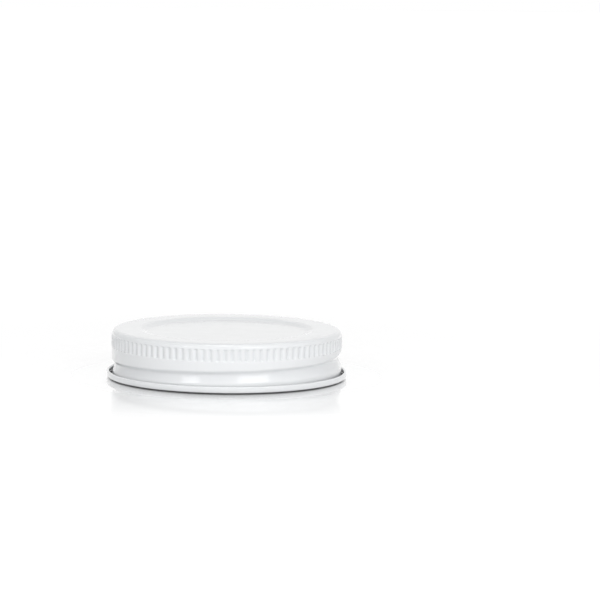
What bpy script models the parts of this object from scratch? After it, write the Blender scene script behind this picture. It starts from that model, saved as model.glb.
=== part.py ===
"""A pressed sheet-metal screw cap for a wide-mouth jar, white enamelled inside and out.

The cap lies as it would on a table: it rests on the rolled edge of its skirt with its
top up. The origin is the centre of the circle that it rests on, +Z is up, and -Y is
the front. Lengths are in metres.

The shell is one disc of tinplate, drawn into a cup. A round profile is turned into an
open surface, the knurl's flutes and the thread are pressed into that surface, and the
surface is then given the thickness of the sheet. The seal is a ring of compound that
was poured into the channel under the rim of the top.
"""

import math

import bmesh
import bpy

# Sheet
SHEET = 0.0002

# Skirt: radius of its outer face beside the knurl, and how far its foot is drawn in
SKIRT_RADIUS = 0.0353
FOOT_DRAW = 0.00015

# Top: round of the shoulder, flat rim, step down to the centre panel
SHOULDER_ROUND = 0.0017
RIM_WIDTH = 0.0070
STEP_WIDTH = 0.0009
PANEL_DROP = 0.0009

# Knurl: flutes pressed inwards below the shoulder
FLUTE_COUNT = 100
FLUTE_LENGTH = 0.0030
FLUTE_END = 0.0004
FLUTE_DEPTH = 0.00035

# Thread: a rolled right-hand groove, five turns to the inch, steeper above its deepest
# line than below it, and reaching this far to either side of the front
THREAD_PITCH = 0.0254 / 5
THREAD_UPPER_SIDE = 0.0015
THREAD_LOWER_SIDE = 0.0025
THREAD_DEPTH = 0.0009
THREAD_REACH = math.radians(158)
THREAD_RUNOUT = math.radians(14)

# Least plain wall below the low end of the thread and above its high end
WALL_BELOW_THREAD = 0.00015
WALL_ABOVE_THREAD = 0.0004

# Curl: the foot of the sheet, turned out and up into a gutter with a rolled lip
CURL_HEIGHT = 0.00226
CURL_WIDTH = 0.0018
LIP_WIDTH = 0.0008

# Seal: compound in the channel under the rim
SEAL_GAP = 0.0003
SEAL_THICKNESS = 0.0010
SEAL_LIP = 0.0007
SEAL_FEATHER = 0.0004

# Segments of the turned shapes
SHOULDER_SEGMENTS = 4
STEP_SEGMENTS = 3
GUTTER_STEPS = 5
LIP_STEPS = 3
SEAL_SEGMENTS = 50
THREAD_SIDE_STEPS = 2

# Heights and radii that follow from the sizes above
CURL_CENTRE_Z = CURL_HEIGHT / 2
FOOT_RADIUS = SKIRT_RADIUS - FOOT_DRAW
THREAD_CLIMB = THREAD_PITCH * THREAD_REACH / (2 * math.pi)
THREAD_Z = CURL_CENTRE_Z + WALL_BELOW_THREAD + THREAD_LOWER_SIDE + THREAD_CLIMB
THREAD_TOP_Z = THREAD_Z + THREAD_UPPER_SIDE + THREAD_CLIMB
FLUTE_BOTTOM_Z = THREAD_TOP_Z + WALL_ABOVE_THREAD
FLUTE_TOP_Z = FLUTE_BOTTOM_Z + FLUTE_LENGTH
TOP_Z = FLUTE_TOP_Z + SHOULDER_ROUND
RIM_OUTER_RADIUS = SKIRT_RADIUS - SHOULDER_ROUND
RIM_INNER_RADIUS = RIM_OUTER_RADIUS - RIM_WIDTH

# How close two heights are when they name the same row of the mesh
SAME_ROW = 0.00001
MERGE_DISTANCE = 0.00001


def clear_scene():
    for item in list(bpy.data.objects):
        bpy.data.objects.remove(item, do_unlink=True)


def new_collection(name):
    collection = bpy.data.collections.new(name)
    bpy.context.scene.collection.children.link(collection)
    return collection


def new_material(name, colour, roughness, metallic=0.0, coat=0.0):
    material = bpy.data.materials.new(name)
    material.use_nodes = True
    shader = material.node_tree.nodes["Principled BSDF"]
    shader.inputs["Base Color"].default_value = (*colour, 1.0)
    shader.inputs["Roughness"].default_value = roughness
    shader.inputs["Metallic"].default_value = metallic
    shader.inputs["Coat Weight"].default_value = coat
    material.diffuse_color = (*colour, 1.0)
    return material


def smoothstep(value):
    """Eases from 0 to 1 and holds both ends."""
    value = min(max(value, 0.0), 1.0)
    return value * value * (3 - 2 * value)


def step_points():
    """Outer face of the step, from the edge of the centre panel up to the rim."""
    points = []
    for i in range(STEP_SEGMENTS + 1):
        share = i / STEP_SEGMENTS
        radius = RIM_INNER_RADIUS - STEP_WIDTH * (1 - share)
        points.append((radius, TOP_Z - PANEL_DROP * (1 - smoothstep(share))))
    return points


def shoulder_points():
    """Quarter round from the rim to the top of the flutes."""
    points = []
    for i in range(SHOULDER_SEGMENTS + 1):
        angle = math.pi / 2 * (1 - i / SHOULDER_SEGMENTS)
        radius = RIM_OUTER_RADIUS + SHOULDER_ROUND * math.cos(angle)
        points.append((radius, FLUTE_TOP_Z + SHOULDER_ROUND * math.sin(angle)))
    return points


def flute_points():
    """The rows where the flutes reach their depth, and the row where they end."""
    return [
        (SKIRT_RADIUS, FLUTE_TOP_Z - FLUTE_END),
        (SKIRT_RADIUS, FLUTE_BOTTOM_Z + FLUTE_END),
        (SKIRT_RADIUS, FLUTE_BOTTOM_Z),
    ]


def thread_points():
    """The rows that carry the thread, at the height that it has at the front."""
    top = THREAD_Z + THREAD_UPPER_SIDE
    upper = [top - THREAD_UPPER_SIDE * i / THREAD_SIDE_STEPS for i in range(THREAD_SIDE_STEPS)]
    lower = [THREAD_Z - THREAD_LOWER_SIDE * i / THREAD_SIDE_STEPS for i in range(THREAD_SIDE_STEPS + 1)]
    draw = FOOT_DRAW / (THREAD_UPPER_SIDE + THREAD_LOWER_SIDE)
    return [(SKIRT_RADIUS - draw * (top - z), z) for z in upper + lower]


def curl_points():
    """Line of the gutter and its lip, from the foot of the skirt to the raw edge.

    The skirt's outer face becomes the inside of the gutter, so this line lies one sheet
    inside the curl's own outline. Its lowest step is level, for the cap to stand on.
    """
    half_width = CURL_WIDTH / 2 - SHEET
    half_height = CURL_HEIGHT / 2 - SHEET
    centre = FOOT_RADIUS + half_width
    half_step = math.pi / 2 / GUTTER_STEPS
    points = []
    for i in range(GUTTER_STEPS):
        angle = -math.pi + 2 * half_step * i
        drop = half_height * math.sin(angle) / math.cos(half_step)
        points.append((centre + half_width * math.cos(angle), CURL_CENTRE_Z + drop))
    lip_radius = LIP_WIDTH / 2 - SHEET
    lip_centre = centre + half_width - lip_radius
    lip_z = CURL_HEIGHT - LIP_WIDTH / 2
    for i in range(LIP_STEPS + 1):
        angle = math.pi * i / LIP_STEPS
        point = (lip_centre + lip_radius * math.cos(angle), lip_z + lip_radius * math.sin(angle))
        points.append(point)
    return points


def shell_profile():
    """Outer face of the sheet, from the centre panel down to the raw edge of the curl."""
    return (
        step_points()
        + shoulder_points()
        + flute_points()
        + thread_points()
        + curl_points()
    )


def turned_mesh(name, profile, steps, closed=False):
    """Mesh of a profile in the XZ plane turned about Z."""
    count = len(profile)
    edges = [(i, i + 1) for i in range(count - 1)]
    if closed:
        edges.append((count - 1, 0))
    outline = bpy.data.meshes.new(name + "_profile")
    outline.from_pydata([(radius, 0, z) for radius, z in profile], edges, [])
    blank = bpy.data.objects.new(name + "_profile", outline)
    bpy.context.scene.collection.objects.link(blank)
    screw = blank.modifiers.new("Turn", "SCREW")
    screw.axis = "Z"
    screw.angle = 2 * math.pi
    screw.steps = steps
    screw.render_steps = steps
    screw.use_merge_vertices = True
    screw.merge_threshold = MERGE_DISTANCE
    bpy.context.view_layer.update()
    depsgraph = bpy.context.evaluated_depsgraph_get()
    mesh = bpy.data.meshes.new_from_object(blank.evaluated_get(depsgraph))
    mesh.name = name
    bpy.data.objects.remove(blank, do_unlink=True)
    bpy.data.meshes.remove(outline)
    return mesh


def on_row(vertex, z):
    return abs(vertex.co.z - z) < SAME_ROW


def front_angle(vertex):
    """Angle from the front, growing towards +X."""
    return math.atan2(vertex.co.x, -vertex.co.y)


def set_radius(vertex, radius):
    factor = radius / math.hypot(vertex.co.x, vertex.co.y)
    vertex.co.x *= factor
    vertex.co.y *= factor


def fill_centre(sheet):
    """Closes the top with the flat centre panel."""
    panel_radius = RIM_INNER_RADIUS - STEP_WIDTH
    rim = []
    for edge in sheet.edges:
        middle = (edge.verts[0].co + edge.verts[1].co) / 2
        if edge.is_boundary and math.hypot(middle.x, middle.y) < panel_radius:
            rim.append(edge)
    bmesh.ops.contextual_create(sheet, geom=rim)


def press_flutes(sheet):
    """Halves the columns on the knurl's rows, then presses a flute in at each column."""
    rows = (FLUTE_TOP_Z - FLUTE_END, FLUTE_BOTTOM_Z + FLUTE_END)
    rings = [
        edge
        for edge in sheet.edges
        if any(all(on_row(vertex, z) for vertex in edge.verts) for z in rows)
    ]
    bmesh.ops.subdivide_edges(sheet, edges=rings, cuts=1)
    pressed = set()
    for vertex in sheet.verts:
        if any(on_row(vertex, z) for z in rows):
            column = front_angle(vertex) * FLUTE_COUNT / (2 * math.pi)
            depth = FLUTE_DEPTH * math.cos(column * math.pi) ** 2
            set_radius(vertex, SKIRT_RADIUS - depth)
            pressed.update(vertex.link_faces)
    bmesh.ops.triangulate(sheet, faces=list(pressed))


def thread_climb(turn):
    """Height of the thread over its height at the front, at an angle from the front.

    Past the thread's two ends the rows run back level to meet at the rear.
    """
    if abs(turn) <= THREAD_REACH:
        return THREAD_PITCH * turn / (2 * math.pi)
    share = (math.pi - abs(turn)) / (math.pi - THREAD_REACH)
    return math.copysign(THREAD_CLIMB * share, turn)


def thread_section(z):
    """Share of the thread's depth at a height in its section, 1 on its deepest line."""
    side = THREAD_UPPER_SIDE if z > THREAD_Z else THREAD_LOWER_SIDE
    return math.cos(min(abs(z - THREAD_Z) / side, 1.0) * math.pi / 2) ** 2


def press_thread(sheet):
    """Rolls the thread into the skirt and fades it out at both ends."""
    lowest = THREAD_Z - THREAD_LOWER_SIDE - SAME_ROW
    highest = THREAD_Z + THREAD_UPPER_SIDE + SAME_ROW
    for vertex in sheet.verts:
        if lowest < vertex.co.z < highest:
            turn = front_angle(vertex)
            ends = smoothstep((THREAD_REACH - abs(turn)) / THREAD_RUNOUT)
            depth = THREAD_DEPTH * thread_section(vertex.co.z) * ends
            set_radius(vertex, math.hypot(vertex.co.x, vertex.co.y) - depth)
            vertex.co.z += thread_climb(turn)


def finish_object(name, mesh, collection, material):
    mesh.materials.append(material)
    mesh.shade_smooth()
    mesh.set_sharp_from_angle(angle=math.radians(50))
    item = bpy.data.objects.new(name, mesh)
    collection.objects.link(item)
    return item


def make_shell(collection):
    enamel = new_material("white_enamel", (0.87, 0.88, 0.89), 0.16, coat=0.6)
    mesh = turned_mesh("cap_shell", shell_profile(), FLUTE_COUNT)
    sheet = bmesh.new()
    sheet.from_mesh(mesh)
    fill_centre(sheet)
    press_flutes(sheet)
    press_thread(sheet)
    bmesh.ops.recalc_face_normals(sheet, faces=sheet.faces)
    sheet.to_mesh(mesh)
    sheet.free()
    shell = finish_object("cap_shell", mesh, collection, enamel)
    solidify = shell.modifiers.new("Sheet", "SOLIDIFY")
    solidify.thickness = SHEET
    solidify.offset = -1
    solidify.use_even_offset = True
    solidify.use_quality_normals = True
    return shell


def seal_profile():
    """Section of the compound, clockwise from its upper inner corner."""
    top = TOP_Z - SHEET - SEAL_GAP
    under = top - SEAL_THICKNESS
    inner = RIM_INNER_RADIUS + SHEET + SEAL_GAP
    outer = SKIRT_RADIUS - FLUTE_DEPTH - SHEET - SEAL_GAP
    corner_round = SHOULDER_ROUND - SHEET - SEAL_GAP
    reach = outer - RIM_OUTER_RADIUS
    corner = FLUTE_TOP_Z + math.sqrt(corner_round**2 - reach**2)
    return [
        (inner, top),
        (RIM_OUTER_RADIUS, top),
        (outer, corner),
        (outer, under - SEAL_LIP),
        (outer - SEAL_LIP, under),
        (inner + 2 * SEAL_FEATHER, under),
        (inner, under + SEAL_FEATHER),
    ]


def make_seal(collection):
    compound = new_material("seal_compound", (0.90, 0.90, 0.88), 0.55)
    mesh = turned_mesh("sealing_ring", seal_profile(), SEAL_SEGMENTS, closed=True)
    return finish_object("sealing_ring", mesh, collection, compound)


def build():
    clear_scene()
    collection = new_collection("screw_cap")
    make_shell(collection)
    make_seal(collection)


build()
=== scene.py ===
"""A white enamelled sheet-metal screw cap, lying top up on a glossy white studio floor.

Lengths are in metres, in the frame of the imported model: +Z is up, -Y is the front.
"""

import math

import bpy
import numpy as np
from mathutils import Matrix, Vector


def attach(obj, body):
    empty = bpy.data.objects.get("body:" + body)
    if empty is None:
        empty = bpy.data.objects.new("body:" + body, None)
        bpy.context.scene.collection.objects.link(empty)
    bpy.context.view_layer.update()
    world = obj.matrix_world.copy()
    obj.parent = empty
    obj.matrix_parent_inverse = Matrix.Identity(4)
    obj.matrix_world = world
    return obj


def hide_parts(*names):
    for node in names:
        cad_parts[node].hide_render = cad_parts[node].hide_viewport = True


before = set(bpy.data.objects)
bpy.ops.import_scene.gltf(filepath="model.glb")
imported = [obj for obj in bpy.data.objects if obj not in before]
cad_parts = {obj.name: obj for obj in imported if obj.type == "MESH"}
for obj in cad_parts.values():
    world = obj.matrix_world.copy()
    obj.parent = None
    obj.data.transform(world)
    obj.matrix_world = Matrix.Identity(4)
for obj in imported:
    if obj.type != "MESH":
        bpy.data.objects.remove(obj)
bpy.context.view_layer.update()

# Shell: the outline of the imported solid, with its step, flutes, thread and curl drawn finer
TOP_Z = 0.014839
SHEET = 0.0002
SKIRT_RADIUS = 0.0353
FOOT_DRAW = 0.00015
SHOULDER_ROUND = 0.00155
RIM_WIDTH = 0.00675
STEP_WIDTH = 0.0034
PANEL_DROP = 0.0009
FLUTE_COUNT = 100
FLUTE_LENGTH = 0.0039
FLUTE_DEPTH = 0.00041
THREAD_PITCH = 0.0254 / 5
THREAD_Z = 0.0055
THREAD_UPPER_SIDE = 0.0013
THREAD_LOWER_SIDE = 0.0032
THREAD_SIDE_ROUND = 0.22
THREAD_DEPTH = 0.0010
THREAD_REACH = math.radians(158)
THREAD_RUNOUT = math.radians(14)
CURL_HEIGHT = 0.0021
CURL_WIDTH = 0.0018
LIP_WIDTH = 0.0008

# On the right, the groove's upper side grows wider between these two turns
THREAD_FAN = 0.0012
THREAD_FAN_FROM = math.radians(45)
THREAD_FAN_TO = math.radians(105)

# Heights and radii that follow
CURL_CENTRE_Z = CURL_HEIGHT / 2
FOOT_RADIUS = SKIRT_RADIUS - FOOT_DRAW
THREAD_CLIMB = THREAD_PITCH * THREAD_REACH / (2 * math.pi)
FLUTE_TOP_Z = TOP_Z - SHOULDER_ROUND
FLUTE_BOTTOM_Z = FLUTE_TOP_Z - FLUTE_LENGTH
RIM_OUTER_RADIUS = SKIRT_RADIUS - SHOULDER_ROUND
RIM_INNER_RADIUS = RIM_OUTER_RADIUS - RIM_WIDTH
PANEL_RADIUS = RIM_INNER_RADIUS - STEP_WIDTH

# How the flutes are pressed: narrow valleys with rounded ends between wide crests, each a
# little deeper or shallower than the next
FLUTE_NARROWING = 1.7
FLUTE_END = 0.00045
FLUTE_END_POWER = 1.5
FLUTE_DEPTH_SPREAD = 0.07
FLUTE_SPREAD_STEP = 2.4
FLUTE_SPREAD_DRIFT = 0.7
FLUTE_SPREAD_DRIFT_STEP = 0.37

# How far the sheet is out of round: oval, with a small wave that twists up the wall
OVAL = 0.000018
OVAL_TURN = 0.6
WAVE = 0.000010
WAVE_COUNT = 5
WAVE_TWIST = 150

# How far the groove counts as pressed, beside the flutes, for the shade painted into the flute
# valleys and the groove
THREAD_PRESSED_SHADE = 0.5

# Painted shade: where the sheet's colour is made dark, in the curl's gutter and under its foot,
# where shade falls
GUTTER_RADIUS = FOOT_RADIUS - SHEET / 4
GUTTER_SHADE_TOP = 0.0011
GUTTER_SHADE_FADE = 0.0005
FOOT_SHADE_TOP = 0.00042
FOOT_SHADE_FADE = 0.00022
FOOT_SHADE_MOST = 0.75

# Columns of the shell's mesh. Where two rows meet, one number divides the other.
CENTRE_COLUMNS = 20
PANEL_COLUMNS = 100
STEP_COLUMNS = 600
COARSE_COLUMNS = 300
FINE_COLUMNS = 1200

# Rows of the shell's mesh
PANEL_ROWS = (
    (CENTRE_COLUMNS, 0.0035),
    (PANEL_COLUMNS, 0.010),
    (PANEL_COLUMNS, 0.018),
    (STEP_COLUMNS, 0.0229),
)
STEP_ROWS = 11
RIM_ROWS = 5
SHOULDER_ROWS = 9
FLUTE_END_SHARES = (0.12, 0.25, 0.4, 0.58, 0.78, 1.0)
FLUTE_MIDDLE_ROWS = 6
WALL_ROWS = 35
CURL_ROWS = 15
LIP_ROWS = 9

# Seal: compound poured into the channel under the rim
SEAL_CLEARANCE = 0.00004
SEAL_SIDE_CLEARANCE = 0.0001
SEAL_UNDERSIDE = 0.0015
SEAL_LIP = 0.0007
SEAL_LIP_SLOPE = 1.5
SEAL_FEATHER = 0.0004
SEAL_FEATHER_SLOPE = 2
SEAL_FEATHER_START = 3
SEAL_INNER_RADIUS = RIM_INNER_RADIUS + SHEET + SEAL_CLEARANCE
SEAL_OUTER_RADIUS = SKIRT_RADIUS - FLUTE_DEPTH - SHEET - SEAL_SIDE_CLEARANCE
SEAL_COLUMNS = 240
SEAL_CORNER_POINTS = 7
SEAL_LIP_SHARES = np.linspace(0.12, 1, 8)
SEAL_FEATHER_SHARES = np.linspace(0.2, 1, 5)

# Ripples of the poured compound, on its underside and its inner edge
RIPPLE = 0.000012
RIPPLE_COUNT = 9
FINE_RIPPLE = 0.000008
FINE_RIPPLE_COUNT = 23
RIPPLE_EDGE = 0.001

# Edges that shade as sharp
SHELL_SHARP = math.radians(60)
SEAL_SHARP = math.radians(55)


def smoothstep(value):
    value = np.clip(value, 0.0, 1.0)
    return value * value * (3 - 2 * value)


def shell_rows():
    """Rows of the sheet's outer face as (columns, radius, z, length along it)."""
    rows = []

    def add(columns, radius, z):
        along = 0.0
        if rows:
            along = rows[-1][3] + math.hypot(radius - rows[-1][1], z - rows[-1][2])
        rows.append((columns, radius, z, along))

    def add_arc(centre, centre_z, half_width, half_height, angles):
        for angle in angles:
            rise = half_height * math.sin(angle)
            add(COARSE_COLUMNS, centre + half_width * math.cos(angle), centre_z + rise)

    for columns, radius in PANEL_ROWS:
        add(columns, radius, TOP_Z - PANEL_DROP)
    for share in np.linspace(0, 1, STEP_ROWS):
        drop = PANEL_DROP * (1 - smoothstep(share))
        add(STEP_COLUMNS, PANEL_RADIUS + STEP_WIDTH * share, TOP_Z - drop)
    for radius in np.linspace(RIM_INNER_RADIUS, RIM_OUTER_RADIUS, RIM_ROWS)[1:-1]:
        add(COARSE_COLUMNS, radius, TOP_Z)
    angles = np.linspace(math.pi / 2, 0, SHOULDER_ROWS)
    add_arc(RIM_OUTER_RADIUS, FLUTE_TOP_Z, SHOULDER_ROUND, SHOULDER_ROUND, angles)

    ends = FLUTE_END * np.array(FLUTE_END_SHARES)
    middle = np.linspace(FLUTE_END, FLUTE_LENGTH - FLUTE_END, FLUTE_MIDDLE_ROWS)[1:-1]
    for drop in [*ends, *middle, *(FLUTE_LENGTH - ends[::-1])]:
        add(FINE_COLUMNS, SKIRT_RADIUS, FLUTE_TOP_Z - drop)
    for z in np.linspace(FLUTE_BOTTOM_Z, CURL_CENTRE_Z, WALL_ROWS):
        add(COARSE_COLUMNS, SKIRT_RADIUS, z)

    # The curl: under the gutter and up the outside, then back over the lip
    half_width = CURL_WIDTH / 2 - SHEET
    half_height = CURL_HEIGHT / 2 - SHEET
    centre = FOOT_RADIUS + half_width
    angles = np.linspace(-math.pi, 0, CURL_ROWS)[1:]
    add_arc(centre, CURL_CENTRE_Z, half_width, half_height, angles)
    lip_radius = LIP_WIDTH / 2 - SHEET
    lip_centre = centre + half_width - lip_radius
    lip_z = CURL_HEIGHT - LIP_WIDTH / 2
    add_arc(lip_centre, lip_z, lip_radius, lip_radius, np.linspace(0, math.pi, LIP_ROWS))
    return rows


def straight_side(down):
    """Section of the groove's lower side: 1 at 0, 0 at 1, straight between rounded ends."""
    end = THREAD_SIDE_ROUND
    near = np.minimum(down, end) ** 2 / (2 * end)
    middle = np.clip(down - end, 0, 1 - 2 * end)
    last = np.clip(down - (1 - end), 0, end)
    return 1 - (near + middle + last - last ** 2 / (2 * end)) / (1 - end)


def thread_climb(turn):
    """Height of the thread over its height at the front. Behind its ends it runs back."""
    share = (math.pi - np.abs(turn)) / (math.pi - THREAD_REACH)
    behind = np.copysign(THREAD_CLIMB * share, turn)
    climb = THREAD_PITCH * turn / (2 * math.pi)
    return np.where(np.abs(turn) <= THREAD_REACH, climb, behind)


def groove_place(z, turn):
    """Place across the groove: 0 on its deepest line, 1 at its upper edge, -1 at its lower."""
    climb = thread_climb(turn)
    fan = smoothstep((turn - THREAD_FAN_FROM) / (THREAD_FAN_TO - THREAD_FAN_FROM))
    fan = fan * smoothstep((math.pi - turn) / (math.pi - THREAD_REACH))
    upper = THREAD_UPPER_SIDE + THREAD_FAN * fan
    lower = np.minimum(THREAD_LOWER_SIDE, THREAD_Z + climb - CURL_CENTRE_Z)
    over = z - climb - THREAD_Z
    return np.clip(np.where(over > 0, over / upper, over / lower), -1, 1)


def groove_share(across, turn):
    """Share of the thread's depth, from the place across the groove and its run-outs."""
    upper = np.cos(across * math.pi / 2) ** 2
    section = np.where(across > 0, upper, straight_side(-across))
    return section * smoothstep((THREAD_REACH - np.abs(turn)) / THREAD_RUNOUT)


def flute_share(z, column, groove):
    """Share of the flutes' depth. They fade where the groove crosses them."""
    valley = np.abs(np.cos(math.pi * column)) ** (2 * FLUTE_NARROWING)
    end = min(FLUTE_TOP_Z - z, z - FLUTE_BOTTOM_Z) / FLUTE_END
    rounded = math.sin(min(end, 1.0) * math.pi / 2) ** FLUTE_END_POWER
    return valley * rounded * (1 - smoothstep(2 * groove))


def flute_spread(column):
    """Depth of each flute beside the others."""
    nearest = np.round(column)
    drift = FLUTE_SPREAD_DRIFT * np.sin(nearest * FLUTE_SPREAD_DRIFT_STEP)
    return 1 + FLUTE_DEPTH_SPREAD * np.sin(nearest * FLUTE_SPREAD_STEP + drift)


def shell_points(row, turn):
    """Points of one row at the given turns from the front, and how far each is pushed in, which
    sets the shade painted into the enamel.
    """
    columns, radius, z, _ = row
    wall = radius == SKIRT_RADIUS and CURL_CENTRE_Z <= z <= FLUTE_TOP_Z
    radius = np.full(len(turn), radius)
    height = np.full(len(turn), z)
    pressed_shade = np.zeros(len(turn))
    if wall:
        across = groove_place(z, turn)
        groove = groove_share(across, turn)
        radius -= THREAD_DEPTH * groove + FOOT_DRAW * (1 - across) / 2
        pressed_shade = THREAD_PRESSED_SHADE * groove
        if columns == FINE_COLUMNS:
            column = turn * FLUTE_COUNT / (2 * math.pi)
            flute = flute_share(z, column, groove)
            radius -= FLUTE_DEPTH * flute_spread(column) * flute
            pressed_shade = np.maximum(pressed_shade, flute)
    if radius[0] > PANEL_RADIUS:
        oval = OVAL * np.sin(2 * turn + OVAL_TURN)
        radius += oval + WAVE * np.sin(WAVE_COUNT * turn + WAVE_TWIST * height)
    points = np.stack([radius * np.sin(turn), -radius * np.cos(turn), height], axis=1)
    return points, pressed_shade


def bridge(upper, lower):
    """Faces between two rows, each given by its first vertex and its number of columns."""
    first, count = upper
    other, other_count = lower
    faces = []
    if count == other_count:
        for i in range(count):
            j = (i + 1) % count
            faces.append((first + i, other + i, other + j, first + j))
        return faces
    if count < other_count:
        ratio = other_count // count
        half = ratio // 2
        for i in range(count):
            j = (i + 1) % count
            fine = [other + (i * ratio + k) % other_count for k in range(ratio + 1)]
            faces += [(first + i, fine[k], fine[k + 1]) for k in range(half)]
            faces.append((first + i, fine[half], first + j))
            faces += [(first + j, fine[k], fine[k + 1]) for k in range(half, ratio)]
        return faces
    return [tuple(reversed(face)) for face in bridge(lower, upper)]


def object_from(name, points, faces):
    mesh = bpy.data.meshes.new(name)
    mesh.from_pydata(points, [], faces)
    mesh.validate()
    item = bpy.data.objects.new(name, mesh)
    bpy.context.scene.collection.objects.link(item)
    return item


def add_attribute(mesh, name, kind, values):
    layer = mesh.attributes.new(name, kind, "POINT")
    layer.data.foreach_set("vector" if kind == "FLOAT_VECTOR" else "value", np.ravel(values))


def apply_modifiers(item):
    """Puts the evaluated mesh in place of the base mesh."""
    bpy.context.view_layer.update()
    depsgraph = bpy.context.evaluated_depsgraph_get()
    mesh = bpy.data.meshes.new_from_object(item.evaluated_get(depsgraph))
    base = item.data
    item.modifiers.clear()
    item.data = mesh
    bpy.data.meshes.remove(base)


def painted_gutter_and_foot_shade(mesh, outer_count):
    """Painted shade: how dark the sheet's colour is made inside the curl's gutter and under its
    foot, where shade falls.

    The first outer_count points are the outer face of the sheet, which the gutter shows.
    """
    place = np.empty(len(mesh.vertices) * 3)
    mesh.vertices.foreach_get("co", place)
    place = place.reshape(-1, 3)
    radius = np.hypot(place[:, 0], place[:, 1])
    z = place[:, 2]
    outer = np.arange(len(place)) < outer_count
    inside = radius > GUTTER_RADIUS
    gutter = inside * smoothstep((GUTTER_SHADE_TOP - z) / GUTTER_SHADE_FADE)
    foot = FOOT_SHADE_MOST * smoothstep((FOOT_SHADE_TOP - z) / FOOT_SHADE_FADE)
    return np.where(outer, gutter, foot)


def make_shell():
    """One sheet: its outer face in rows from the panel to the lip, thickened inwards."""
    points, pressed_shade, lay, faces = [], [], [], []
    start = 0
    previous = None
    for row in shell_rows():
        columns, _, _, length = row
        turn = np.arange(columns) * 2 * math.pi / columns
        turn = np.where(turn > math.pi, turn - 2 * math.pi, turn)
        row_points, row_pressed_shade = shell_points(row, turn)
        points.append(row_points)
        pressed_shade.append(row_pressed_shade)
        along = np.full(columns, length)
        lay.append(np.stack([np.sin(turn), np.cos(turn), along], axis=1))
        if previous:
            faces += bridge(previous, (start, columns))
        previous = (start, columns)
        start += columns
    points.append([(0, 0, TOP_Z - PANEL_DROP)])
    pressed_shade.append([0])
    lay.append([(0, 0, 0)])
    faces += [(start, i, (i + 1) % CENTRE_COLUMNS) for i in range(CENTRE_COLUMNS)]
    points = np.concatenate(points)
    shell = object_from("shell", points.tolist(), faces)
    # Painted shade: this mask greys the sheet's colour in the flute valleys and the groove
    add_attribute(shell.data, "pressed_shade", "FLOAT", np.concatenate(pressed_shade))
    add_attribute(shell.data, "lay", "FLOAT_VECTOR", np.concatenate(lay))
    solidify = shell.modifiers.new("Sheet", "SOLIDIFY")
    solidify.thickness = SHEET
    solidify.offset = -1
    apply_modifiers(shell)
    # Painted shade: the gutter and the foot are made dark in the sheet's colour
    add_attribute(shell.data, "dark", "FLOAT", painted_gutter_and_foot_shade(shell.data, len(points)))
    shell.data.shade_smooth()
    shell.data.set_sharp_from_angle(angle=SHELL_SHARP)
    return shell


def seal_section():
    """Closed section of the compound as (radius, z), clockwise, with soft corners."""
    top = TOP_Z - SHEET - SEAL_CLEARANCE
    under = TOP_Z - SEAL_UNDERSIDE
    corner_round = SHOULDER_ROUND - SHEET - SEAL_CLEARANCE
    widest = math.acos((SEAL_OUTER_RADIUS - RIM_OUTER_RADIUS) / corner_round)
    points = [(SEAL_INNER_RADIUS, top)]
    for angle in np.linspace(math.pi / 2, widest, SEAL_CORNER_POINTS):
        radius = RIM_OUTER_RADIUS + corner_round * math.cos(angle)
        points.append((radius, FLUTE_TOP_Z + corner_round * math.sin(angle)))
    points.append((SEAL_OUTER_RADIUS, under - SEAL_LIP))
    for share in SEAL_LIP_SHARES:
        radius = SEAL_OUTER_RADIUS - SEAL_LIP_SLOPE * SEAL_LIP * share
        points.append((radius, under - SEAL_LIP * (1 - smoothstep(share))))
    points.append((SEAL_INNER_RADIUS + SEAL_FEATHER_START * SEAL_FEATHER, under))
    for share in SEAL_FEATHER_SHARES:
        radius = SEAL_INNER_RADIUS + SEAL_FEATHER_SLOPE * SEAL_FEATHER * (1 - share)
        points.append((radius, under + SEAL_FEATHER * smoothstep(share)))
    return points


def make_seal():
    """One ring turned from the section, with the ripples of a poured compound."""
    section = np.array(seal_section())
    turn = np.arange(SEAL_COLUMNS) * 2 * math.pi / SEAL_COLUMNS
    points, faces = [], []
    for index, (radius, z) in enumerate(section):
        ripple = RIPPLE * np.sin(RIPPLE_COUNT * turn + index)
        ripple = ripple + FINE_RIPPLE * np.sin(FINE_RIPPLE_COUNT * turn)
        underside = z <= TOP_Z - SEAL_UNDERSIDE
        inner_edge = radius < RIM_INNER_RADIUS + RIPPLE_EDGE
        height = z - ripple * underside
        reach = radius + np.abs(ripple) * inner_edge
        points.append(np.stack([reach * np.sin(turn), -reach * np.cos(turn), height], axis=1))
    count = len(section)
    for index in range(count):
        upper = (index * SEAL_COLUMNS, SEAL_COLUMNS)
        lower = ((index + 1) % count * SEAL_COLUMNS, SEAL_COLUMNS)
        faces += bridge(upper, lower)
    seal = object_from("seal", np.concatenate(points).tolist(), faces)
    seal.data.shade_smooth()
    seal.data.set_sharp_from_angle(angle=SEAL_SHARP)
    return seal


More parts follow.
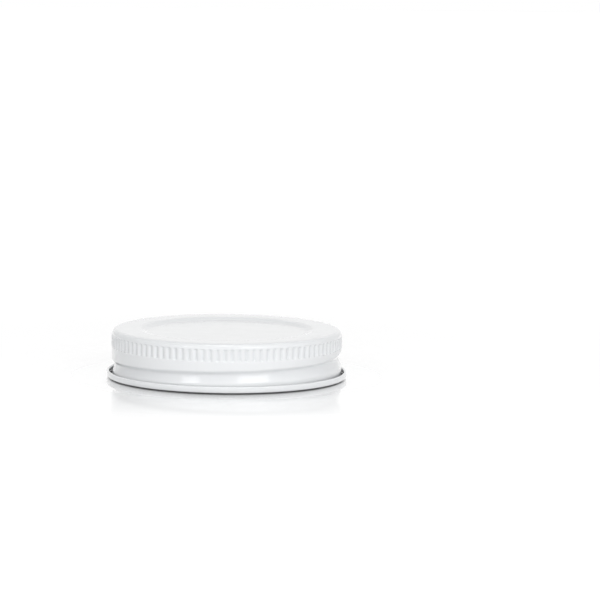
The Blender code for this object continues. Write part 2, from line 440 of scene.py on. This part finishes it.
class Nodes:
    """A short way to add and join the nodes of one tree."""

    def __init__(self, tree):
        self.tree = tree

    def add(self, kind, **settings):
        node = self.tree.nodes.new(kind)
        for name, value in settings.items():
            setattr(node, name, value)
        return node

    def join(self, output, socket):
        self.tree.links.new(output, socket)

    def feed(self, value, socket):
        """Joins a socket, or sets a number or colour."""
        if isinstance(value, bpy.types.NodeSocket):
            self.join(value, socket)
        else:
            socket.default_value = value

    def object_place(self):
        return self.add("ShaderNodeTexCoord").outputs["Object"]

    def attribute(self, name, output):
        return self.add("ShaderNodeAttribute", attribute_name=name).outputs[output]

    def math(self, operation, a, b):
        node = self.add("ShaderNodeMath", operation=operation)
        self.feed(a, node.inputs[0])
        self.feed(b, node.inputs[1])
        return node.outputs[0]

    def vector(self, operation, a, b=None, output="Vector"):
        node = self.add("ShaderNodeVectorMath", operation=operation)
        self.join(a, node.inputs[0])
        if b is not None:
            node.inputs[1].default_value = b
        return node.outputs[output]

    def noise(self, vector, scale, detail):
        node = self.add("ShaderNodeTexNoise")
        self.join(vector, node.inputs["Vector"])
        node.inputs["Scale"].default_value = scale
        node.inputs["Detail"].default_value = detail
        return node.outputs["Fac"]

    def ranged(self, value, low, high, to_low, to_high, kind="LINEAR"):
        node = self.add("ShaderNodeMapRange", interpolation_type=kind)
        self.join(value, node.inputs["Value"])
        node.inputs["From Min"].default_value = low
        node.inputs["From Max"].default_value = high
        node.inputs["To Min"].default_value = to_low
        node.inputs["To Max"].default_value = to_high
        return node.outputs["Result"]

    def blend(self, share, first, second):
        node = self.add("ShaderNodeMix", data_type="RGBA")
        self.join(share, node.inputs[0])
        self.feed(first, node.inputs[6])
        self.feed(second, node.inputs[7])
        return node.outputs[2]

    def bump(self, height, distance, strength, after=None):
        node = self.add("ShaderNodeBump")
        node.inputs["Strength"].default_value = strength
        node.inputs["Distance"].default_value = distance
        self.join(height, node.inputs["Height"])
        if after is not None:
            self.join(after, node.inputs["Normal"])
        return node.outputs["Normal"]


def new_material(name):
    material = bpy.data.materials.new(name)
    material.use_nodes = True
    return material, Nodes(material.node_tree), material.node_tree.nodes["Principled BSDF"]


def enamel_material():
    """Gloss white enamel with orange peel and faint drawing marks.

    It is greyer where the sheet is pushed in, in the flute valleys and the groove, and dark in
    the gutter and under the foot: all of it is shade painted into its colour.
    """
    material, nodes, shader = new_material("enamel")
    place = nodes.object_place()
    cloud = nodes.noise(place, scale=120, detail=3)
    peel = nodes.noise(place, scale=1500, detail=2)
    fine = nodes.noise(place, scale=6000, detail=1)
    drawn = nodes.vector("MULTIPLY", nodes.attribute("lay", "Vector"), (150, 150, 90))
    streak = nodes.noise(drawn, scale=1, detail=3)

    tone = nodes.blend(cloud, (0.845, 0.861, 0.878, 1), (0.867, 0.880, 0.893, 1))
    worn = nodes.ranged(streak, low=0.55, high=0.8, to_low=0, to_high=0.25)
    tone = nodes.blend(worn, tone, (0.80, 0.815, 0.83, 1))
    # Painted shade: greyer in the flute valleys and the groove
    pressed_shade = nodes.math("MULTIPLY", nodes.attribute("pressed_shade", "Fac"), 0.3)
    tone = nodes.blend(pressed_shade, tone, (0.70, 0.725, 0.75, 1))
    # Painted shade: dark in the curl's gutter and under the foot
    tone = nodes.blend(nodes.attribute("dark", "Fac"), tone, (0.045, 0.047, 0.050, 1))
    nodes.join(tone, shader.inputs["Base Color"])

    rough = nodes.ranged(cloud, low=0.3, high=0.7, to_low=0.15, to_high=0.21)
    speckle = nodes.ranged(fine, low=0.3, high=0.7, to_low=0, to_high=0.04)
    marks = nodes.ranged(streak, low=0.5, high=0.8, to_low=0, to_high=0.06)
    rough = nodes.math("ADD", nodes.math("ADD", rough, speckle), marks)
    nodes.join(rough, shader.inputs["Roughness"])

    normal = nodes.bump(peel, distance=0.000006, strength=0.5)
    normal = nodes.bump(streak, distance=0.000006, strength=0.35, after=normal)
    nodes.join(normal, shader.inputs["Normal"])
    shader.inputs["Specular IOR Level"].default_value = 0.1
    shader.inputs["Coat Weight"].default_value = 1.0
    shader.inputs["Coat Roughness"].default_value = 0.1
    return material


def compound_material():
    """Matt, soft sealing compound with fine pores and flow marks."""
    material, nodes, shader = new_material("compound")
    place = nodes.object_place()
    flow = nodes.noise(place, scale=260, detail=4)
    grain = nodes.noise(place, scale=4000, detail=2)
    tone = nodes.blend(flow, (0.86, 0.86, 0.835, 1), (0.91, 0.91, 0.89, 1))
    nodes.join(tone, shader.inputs["Base Color"])
    rough = nodes.ranged(flow, low=0.3, high=0.7, to_low=0.48, to_high=0.62)
    nodes.join(rough, shader.inputs["Roughness"])
    normal = nodes.bump(flow, distance=0.00005, strength=0.4)
    normal = nodes.bump(grain, distance=0.00001, strength=0.4, after=normal)
    nodes.join(normal, shader.inputs["Normal"])
    return material


def seen_directly(nodes):
    """1 on camera, glossy and transmission rays, 0 on the rays that light the object."""
    path = nodes.add("ShaderNodeLightPath")
    share = nodes.math("MAXIMUM", path.outputs["Is Camera Ray"], path.outputs["Is Glossy Ray"])
    return nodes.math("MAXIMUM", share, path.outputs["Is Transmission Ray"])


# Floor: white, with a glow that only direct views and reflections see, full white far off
FLOOR_HALF = 1.6
FLOOR_COLOUR = (0.93, 0.93, 0.93, 1)
FLOOR_ROUGHNESS = 0.6
GLOW_NEAR = 0.33
GLOW_FAR = 1
GLOW_INNER = 0.1
GLOW_OUTER = 0.6

# Painted shade: the floor is dark within this radius, under the cap, where its contact shadow
# falls
UNDER_CAP_SHADE = 0.0359
UNDER_CAP_SHADE_COLOUR = (0.01, 0.01, 0.01, 1)

# Its polish fades from the cap outwards
POLISH_INNER = 0.0362
POLISH_OUTER = 0.103
POLISH_FALL = 1.4
POLISH_MOST = 0.96
MIRROR_ROUGHNESS = 0.05
MIRROR_COLOUR = (0.99, 0.99, 0.99, 1)

# Painted shadow: the mirror is dimmed near the front of the cap's foot, as the cap's shadow
# falling forward
SHADE_CENTRE = (0, -0.014, 0)
SHADE_INNER = 0.022
SHADE_OUTER = 0.0395
SHADE_DEPTH = 0.4


def floor_material():
    """Matt white, mixed with a mirror that reflects the cap close to it. Shade is painted dark
    under the cap, and a shadow is painted into the mirror in front of it.
    """
    material, nodes, shader = new_material("polished_floor")
    place = nodes.object_place()
    length = nodes.vector("LENGTH", place, output="Value")
    # Painted shade: near black under the cap
    bare = nodes.math("GREATER_THAN", length, UNDER_CAP_SHADE)
    colour = nodes.blend(bare, UNDER_CAP_SHADE_COLOUR, FLOOR_COLOUR)
    nodes.join(colour, shader.inputs["Base Color"])
    glow = nodes.ranged(length, GLOW_INNER, GLOW_OUTER, GLOW_NEAR, GLOW_FAR, "SMOOTHSTEP")
    glow = nodes.math("MULTIPLY", seen_directly(nodes), glow)
    nodes.join(nodes.math("MULTIPLY", glow, bare), shader.inputs["Emission Strength"])
    shader.inputs["Emission Color"].default_value = (1, 1, 1, 1)
    shader.inputs["Roughness"].default_value = FLOOR_ROUGHNESS
    shader.inputs["Specular IOR Level"].default_value = 0.0

    mirror = nodes.add("ShaderNodeBsdfGlossy")
    mirror.inputs["Roughness"].default_value = MIRROR_ROUGHNESS
    # Painted shadow of the cap, in front of its foot
    from_shade = nodes.vector("SUBTRACT", place, SHADE_CENTRE)
    from_shade = nodes.vector("LENGTH", from_shade, output="Value")
    shade = nodes.ranged(from_shade, SHADE_INNER, SHADE_OUTER, SHADE_DEPTH, 0, "SMOOTHSTEP")
    nodes.join(nodes.blend(shade, MIRROR_COLOUR, (0, 0, 0, 1)), mirror.inputs["Color"])

    polish = nodes.ranged(length, POLISH_INNER, POLISH_OUTER, 1, 0)
    polish = nodes.math("MULTIPLY", nodes.math("POWER", polish, POLISH_FALL), POLISH_MOST)
    surface = nodes.add("ShaderNodeMixShader")
    nodes.join(polish, surface.inputs[0])
    nodes.join(shader.outputs[0], surface.inputs[1])
    nodes.join(mirror.outputs[0], surface.inputs[2])
    output = material.node_tree.nodes["Material Output"]
    nodes.join(surface.outputs[0], output.inputs["Surface"])
    return material


def make_floor():
    half = FLOOR_HALF
    corners = [(-half, -half, 0), (half, -half, 0), (half, half, 0), (-half, half, 0)]
    floor = object_from("floor", corners, [(0, 1, 2, 3)])
    floor.data.materials.append(floor_material())


# Soft lobes of light as (azimuth, elevation, strength), in degrees, azimuth 0 at the front
LOBE_SHARPNESS = 5
LOBES = [
    (0, 15, 1.70),
    (40, 15, 0.56),
    (-40, 15, 0.03),
    (80, 15, 0.08),
    (-80, 15, 0.08),
    (125, 15, 0.14),
    (-125, 15, 0.14),
    (180, 20, 0.45),
    (0, 50, 0.05),
    (70, 50, 0.05),
    (-70, 50, 0.05),
    (130, 50, 0.05),
    (-130, 50, 0.05),
    (180, 55, 0.30),
    (0, 90, 0.18),
]


def direction_to(azimuth, elevation):
    """Unit vector, from degrees with azimuth 0 at the front and 90 on the right."""
    a, e = math.radians(azimuth), math.radians(elevation)
    return Vector((math.sin(a) * math.cos(e), -math.cos(a) * math.cos(e), math.sin(e)))


def make_world():
    """White to direct views and reflections. It lights the cap mostly from the front."""
    world = bpy.data.worlds.new("studio")
    bpy.context.scene.world = world
    world.use_nodes = True
    nodes = Nodes(world.node_tree)
    background = world.node_tree.nodes["Background"]
    direction = nodes.add("ShaderNodeTexCoord").outputs["Generated"]
    light = 0.0
    for azimuth, elevation, strength in LOBES:
        towards = direction_to(azimuth, elevation)
        facing = nodes.vector("DOT_PRODUCT", direction, towards, output="Value")
        lobe = nodes.math("POWER", nodes.math("MAXIMUM", facing, 0.0), LOBE_SHARPNESS)
        light = nodes.math("ADD", nodes.math("MULTIPLY", lobe, strength), light)
    mix = nodes.add("ShaderNodeMix", data_type="FLOAT")
    nodes.join(seen_directly(nodes), mix.inputs[0])
    nodes.join(light, mix.inputs[2])
    mix.inputs[3].default_value = 1.0
    nodes.join(mix.outputs[0], background.inputs["Strength"])
    background.inputs["Color"].default_value = (1, 1, 1, 1)


# Softboxes, all at one distance from the cap: (name, azimuth, elevation, width, height, watts)
SOFTBOX_DISTANCE = 1.2
SOFTBOXES = [
    ("softbox_left", -39, 32, 0.34, 0.24, 0.85),
    ("softbox_right", 29, 31, 0.62, 0.27, 1.55),
    ("softbox_top", 0, 75, 0.6, 0.5, 2.8),
]


def add_softbox(name, azimuth, elevation, width, height, watts):
    """Area light aimed at the cap."""
    away = direction_to(azimuth, elevation)
    data = bpy.data.lights.new(name, "AREA")
    data.shape = "RECTANGLE"
    data.size = width
    data.size_y = height
    data.energy = watts
    lamp = bpy.data.objects.new(name, data)
    lamp.location = away * SOFTBOX_DISTANCE
    lamp.rotation_euler = away.to_track_quat("Z", "Y").to_euler()
    bpy.context.scene.collection.objects.link(lamp)


# Camera: PIXEL is what one pixel of the image covers at the cap. The middle of the cap's
# base lies BASE_RIGHT and BASE_UP pixels from the middle of the image.
CAMERA_DISTANCE = 1.5
CAMERA_ELEVATION = math.radians(7.4)
CAMERA_ROLL = math.radians(0.6)
PIXEL = 0.0003066
IMAGE_SIZE = 600
BASE_RIGHT = -73.5
BASE_UP = -76.5
SENSOR = 36.0
CLIP_START = 0.05
CLIP_END = 20


def make_camera():
    """A long lens, aimed so that the middle of the cap's base lies left of and below centre."""
    forward = Vector((0, math.cos(CAMERA_ELEVATION), -math.sin(CAMERA_ELEVATION)))
    level = Vector((1, 0, 0))
    upright = level.cross(forward)
    right = math.cos(CAMERA_ROLL) * level + math.sin(CAMERA_ROLL) * upright
    up = math.cos(CAMERA_ROLL) * upright - math.sin(CAMERA_ROLL) * level
    place = -CAMERA_DISTANCE * forward - PIXEL * (BASE_RIGHT * right + BASE_UP * up)
    data = bpy.data.cameras.new("camera")
    data.sensor_width = SENSOR
    data.lens = SENSOR * CAMERA_DISTANCE / (PIXEL * IMAGE_SIZE)
    data.clip_start = CLIP_START
    data.clip_end = CLIP_END
    camera = bpy.data.objects.new("camera", data)
    axes = Matrix((right, up, -forward)).transposed()
    camera.matrix_world = Matrix.Translation(place) @ axes.to_4x4()
    bpy.context.scene.collection.objects.link(camera)
    bpy.context.scene.camera = camera


shell = make_shell()
shell.data.materials.clear()
shell.data.materials.append(enamel_material())
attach(shell, "root")
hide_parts("cap_shell")

seal = make_seal()
seal.data.materials.append(compound_material())
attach(seal, "root")
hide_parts("sealing_ring")

make_floor()
make_world()
for softbox in SOFTBOXES:
    add_softbox(*softbox)
make_camera()
bpy.context.scene.view_settings.view_transform = "Standard"
